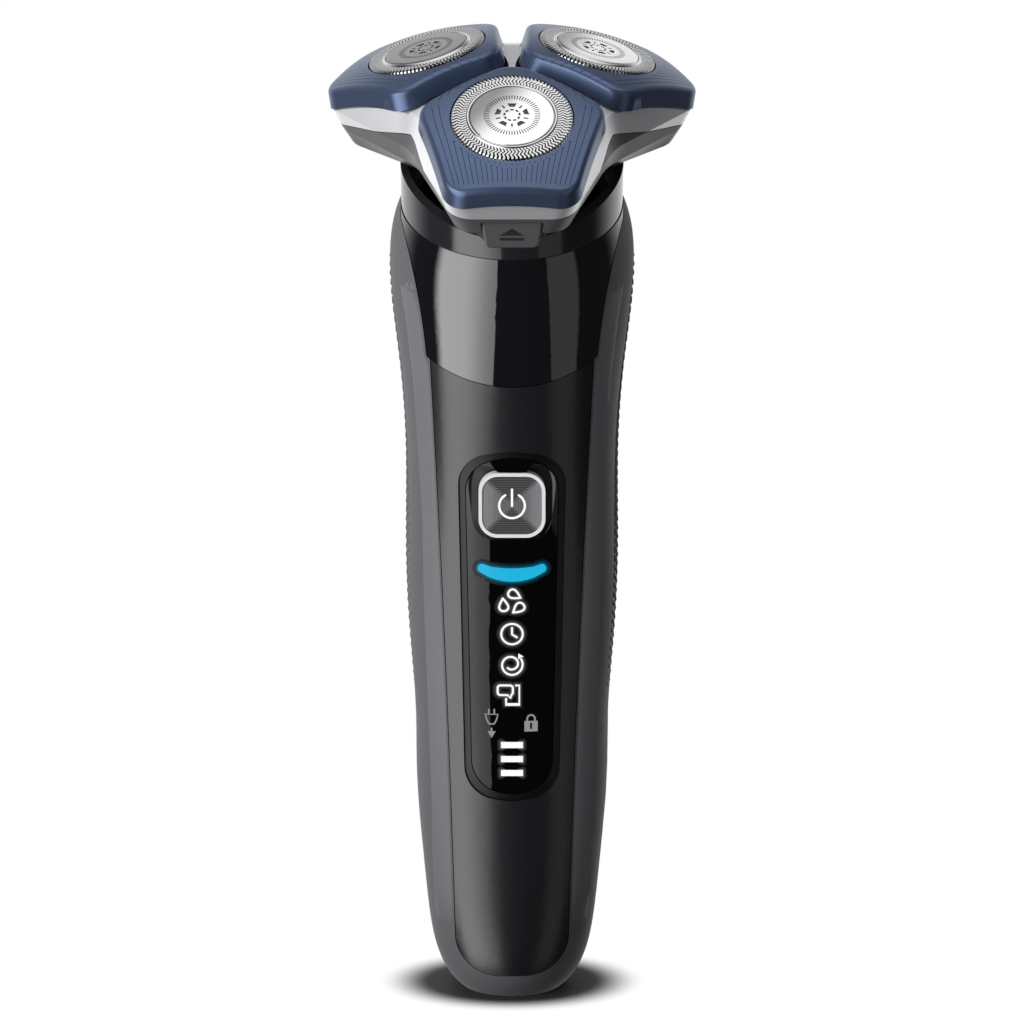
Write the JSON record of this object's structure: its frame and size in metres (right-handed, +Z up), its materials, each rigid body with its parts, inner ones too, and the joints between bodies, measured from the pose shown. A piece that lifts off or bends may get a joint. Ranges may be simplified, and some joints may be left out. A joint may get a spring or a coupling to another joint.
{
  "type": "electric shaver",
  "caption": "Cordless rotary shaver with flexing cutting heads under a hinged holder, a pull-off shaving head and a slim soft-touch handle with a display.",
  "frame": {"origin": "centre of the flat base that the shaver stands on", "axes": "+Z up along the handle to the shaving head; -Y out of the front with the power button; +X to the right seen from the back"},
  "size_m": [0.0644, 0.0591, 0.1749],
  "materials": {
    "soft_grip": "soft-touch dark grey",
    "gloss_black": "high gloss black",
    "matte_panel": "satin black",
    "ring_black": "semi-gloss dark grey",
    "light_cyan": "lit cyan light guide",
    "light_white": "lit white light guide",
    "black_plastic": "moulded black",
    "head_grey": "moulded dark grey",
    "silver_frame": "satin silver paint",
    "pad_blue": "metallic blue",
    "steel": "brushed",
    "bright_steel": "polished",
    "button_grey": "brushed dark",
    "chrome_ring": "polished",
    "white_nylon": "natural nylon",
    "frame_nylon": "moulded grey",
    "board_green": "circuit board",
    "cell_sleeve": "shrink sleeve",
    "seal_rubber": "rubber",
    "contact_brass": "plated"
  },
  "bodies": {
    "handle": {"grip_shell": "soft_grip", "upper_fascia": "gloss_black", "front_panel": "matte_panel", "display_lens": "gloss_black", "light_bar": "light_cyan", "charge_bars": "light_white", "neck_ring": "ring_black", "neck_socket": "black_plastic", "shaft_seal": "seal_rubber", "inner_frame": "frame_nylon", "control_board": "board_green", "tact_switch": "black_plastic", "status_leds": "light_white", "battery_cell": "cell_sleeve", "battery_tabs": "contact_brass", "motor_mount": "frame_nylon", "motor_can": "steel", "motor_screws": "steel", "charging_inlet": "black_plastic", "inlet_pins": "contact_brass"},
    "power_button": {"button_face": "button_grey", "button_ring": "chrome_ring"},
    "drive": {"drive_shaft": "steel", "drive_coupler": "white_nylon"},
    "head": {"head_base": "head_grey", "gear_deck": "head_grey", "deck_screws": "steel", "hinge_pin": "steel", "latch_spring": "steel"},
    "release": {"release_button": "head_grey"},
    "sun": {"sun_gear": "white_nylon"},
    "holder": {"head_holder": "silver_frame"},
    "planet_1": {"planet_gear_1": "white_nylon"},
    "pad_1": {"skin_pad_1": "pad_blue"},
    "ring_1": {"retaining_ring_1": "black_plastic"},
    "cap_1": {"shaving_cap_1": "steel", "cap_disc_1": "bright_steel"},
    "cutter_body_1": {"cutter_1": "steel"},
    "planet_2": {"planet_gear_2": "white_nylon"},
    "pad_2": {"skin_pad_2": "pad_blue"},
    "ring_2": {"retaining_ring_2": "black_plastic"},
    "cap_2": {"shaving_cap_2": "steel", "cap_disc_2": "bright_steel"},
    "cutter_body_2": {"cutter_2": "steel"},
    "planet_3": {"planet_gear_3": "white_nylon"},
    "pad_3": {"skin_pad_3": "pad_blue"},
    "ring_3": {"retaining_ring_3": "black_plastic"},
    "cap_3": {"shaving_cap_3": "steel", "cap_disc_3": "bright_steel"},
    "cutter_body_3": {"cutter_3": "steel"}
  },
  "joints": [
    {"name": "button_press", "type": "slide", "parent": "handle", "child": "power_button", "axis": [0, 1, 0], "range_m": [0, 0.0005], "stiffness_N_per_m": 900, "springref_m": -0.0003},
    {"name": "drive_spin", "type": "hinge", "parent": "handle", "child": "drive", "pos_m": [0, -0.0051, 0.16993], "axis": [0, -0.2588, 0.9659], "continuous": true},
    {"name": "head_pull", "type": "slide", "parent": "handle", "child": "head", "axis": [0, -0.2588, 0.9659], "range_m": [0, 0.016]},
    {"name": "release_press", "type": "slide", "parent": "head", "child": "release", "axis": [0, 0.9659, 0.2588], "range_m": [0, 0.0008], "stiffness_N_per_m": 500, "springref_m": -0.0005},
    {"name": "sun_spin", "type": "hinge", "parent": "head", "child": "sun", "pos_m": [0, -0.0051, 0.16993], "axis": [0, -0.2588, 0.9659], "continuous": true},
    {"name": "holder_open", "type": "hinge", "parent": "head", "child": "holder", "pos_m": [0, 0.02176, 0.16781], "axis": [-1, 0, 0], "range_deg": [0, 95]},
    {"name": "planet_spin_1", "type": "hinge", "parent": "head", "child": "planet_1", "pos_m": [0, -0.02064, 0.16577], "axis": [0, -0.2588, 0.9659], "continuous": true},
    {"name": "pad_tilt_1", "type": "hinge", "parent": "holder", "child": "pad_1", "pos_m": [0, -0.0196, 0.16188], "axis": [-1, 0, 0], "range_deg": [0, 5], "stiffness_Nm_per_rad": 0.05, "springref_deg": -1.72},
    {"name": "ring_twist_1", "type": "hinge", "parent": "pad_1", "child": "ring_1", "pos_m": [0, -0.02181, 0.16545], "axis": [0, -0.5255, 0.8508], "range_deg": [0, 30]},
    {"name": "cap_press_1", "type": "slide", "parent": "pad_1", "child": "cap_1", "axis": [0, 0.5255, -0.8508], "range_m": [0, 0.0008], "stiffness_N_per_m": 800, "springref_m": -0.0005},
    {"name": "cutter_spin_1", "type": "hinge", "parent": "cap_1", "child": "cutter_body_1", "pos_m": [0, -0.02181, 0.16545], "axis": [0, -0.5255, 0.8508], "continuous": true},
    {"name": "planet_spin_2", "type": "hinge", "parent": "head", "child": "planet_2", "pos_m": [0.01394, 0.00267, 0.17201], "axis": [0, -0.2588, 0.9659], "continuous": true},
    {"name": "pad_tilt_2", "type": "hinge", "parent": "holder", "child": "pad_2", "pos_m": [0.01394, 0.00371, 0.16813], "axis": [0.5, -0.8365, -0.2241], "range_deg": [0, 5], "stiffness_Nm_per_rad": 0.05, "springref_deg": -1.72},
    {"name": "ring_twist_2", "type": "hinge", "parent": "pad_2", "child": "ring_2", "pos_m": [0.01498, 0.00326, 0.17217], "axis": [0.2489, -0.1091, 0.9624], "range_deg": [0, 30]},
    {"name": "cap_press_2", "type": "slide", "parent": "pad_2", "child": "cap_2", "axis": [-0.2489, 0.1091, -0.9624], "range_m": [0, 0.0008], "stiffness_N_per_m": 800, "springref_m": -0.0005},
    {"name": "cutter_spin_2", "type": "hinge", "parent": "cap_2", "child": "cutter_body_2", "pos_m": [0.01498, 0.00326, 0.17217], "axis": [0.2489, -0.1091, 0.9624], "continuous": true},
    {"name": "planet_spin_3", "type": "hinge", "parent": "head", "child": "planet_3", "pos_m": [-0.01394, 0.00267, 0.17201], "axis": [0, -0.2588, 0.9659], "continuous": true},
    {"name": "pad_tilt_3", "type": "hinge", "parent": "holder", "child": "pad_3", "pos_m": [-0.01394, 0.00371, 0.16813], "axis": [0.5, 0.8365, 0.2241], "range_deg": [0, 5], "stiffness_Nm_per_rad": 0.05, "springref_deg": -1.72},
    {"name": "ring_twist_3", "type": "hinge", "parent": "pad_3", "child": "ring_3", "pos_m": [-0.01498, 0.00326, 0.17217], "axis": [-0.2489, -0.1091, 0.9624], "range_deg": [0, 30]},
    {"name": "cap_press_3", "type": "slide", "parent": "pad_3", "child": "cap_3", "axis": [0.2489, 0.1091, -0.9624], "range_m": [0, 0.0008], "stiffness_N_per_m": 800, "springref_m": -0.0005},
    {"name": "cutter_spin_3", "type": "hinge", "parent": "cap_3", "child": "cutter_body_3", "pos_m": [-0.01498, 0.00326, 0.17217], "axis": [-0.2489, -0.1091, 0.9624], "continuous": true}
  ],
  "couplings": [
    {"joint": "sun_spin", "follows": "drive_spin", "ratio": 1},
    {"joint": "planet_spin_1", "follows": "drive_spin", "ratio": -2},
    {"joint": "cutter_spin_1", "follows": "drive_spin", "ratio": -2},
    {"joint": "planet_spin_2", "follows": "drive_spin", "ratio": -2},
    {"joint": "cutter_spin_2", "follows": "drive_spin", "ratio": -2},
    {"joint": "planet_spin_3", "follows": "drive_spin", "ratio": -2},
    {"joint": "cutter_spin_3", "follows": "drive_spin", "ratio": -2}
  ]
}
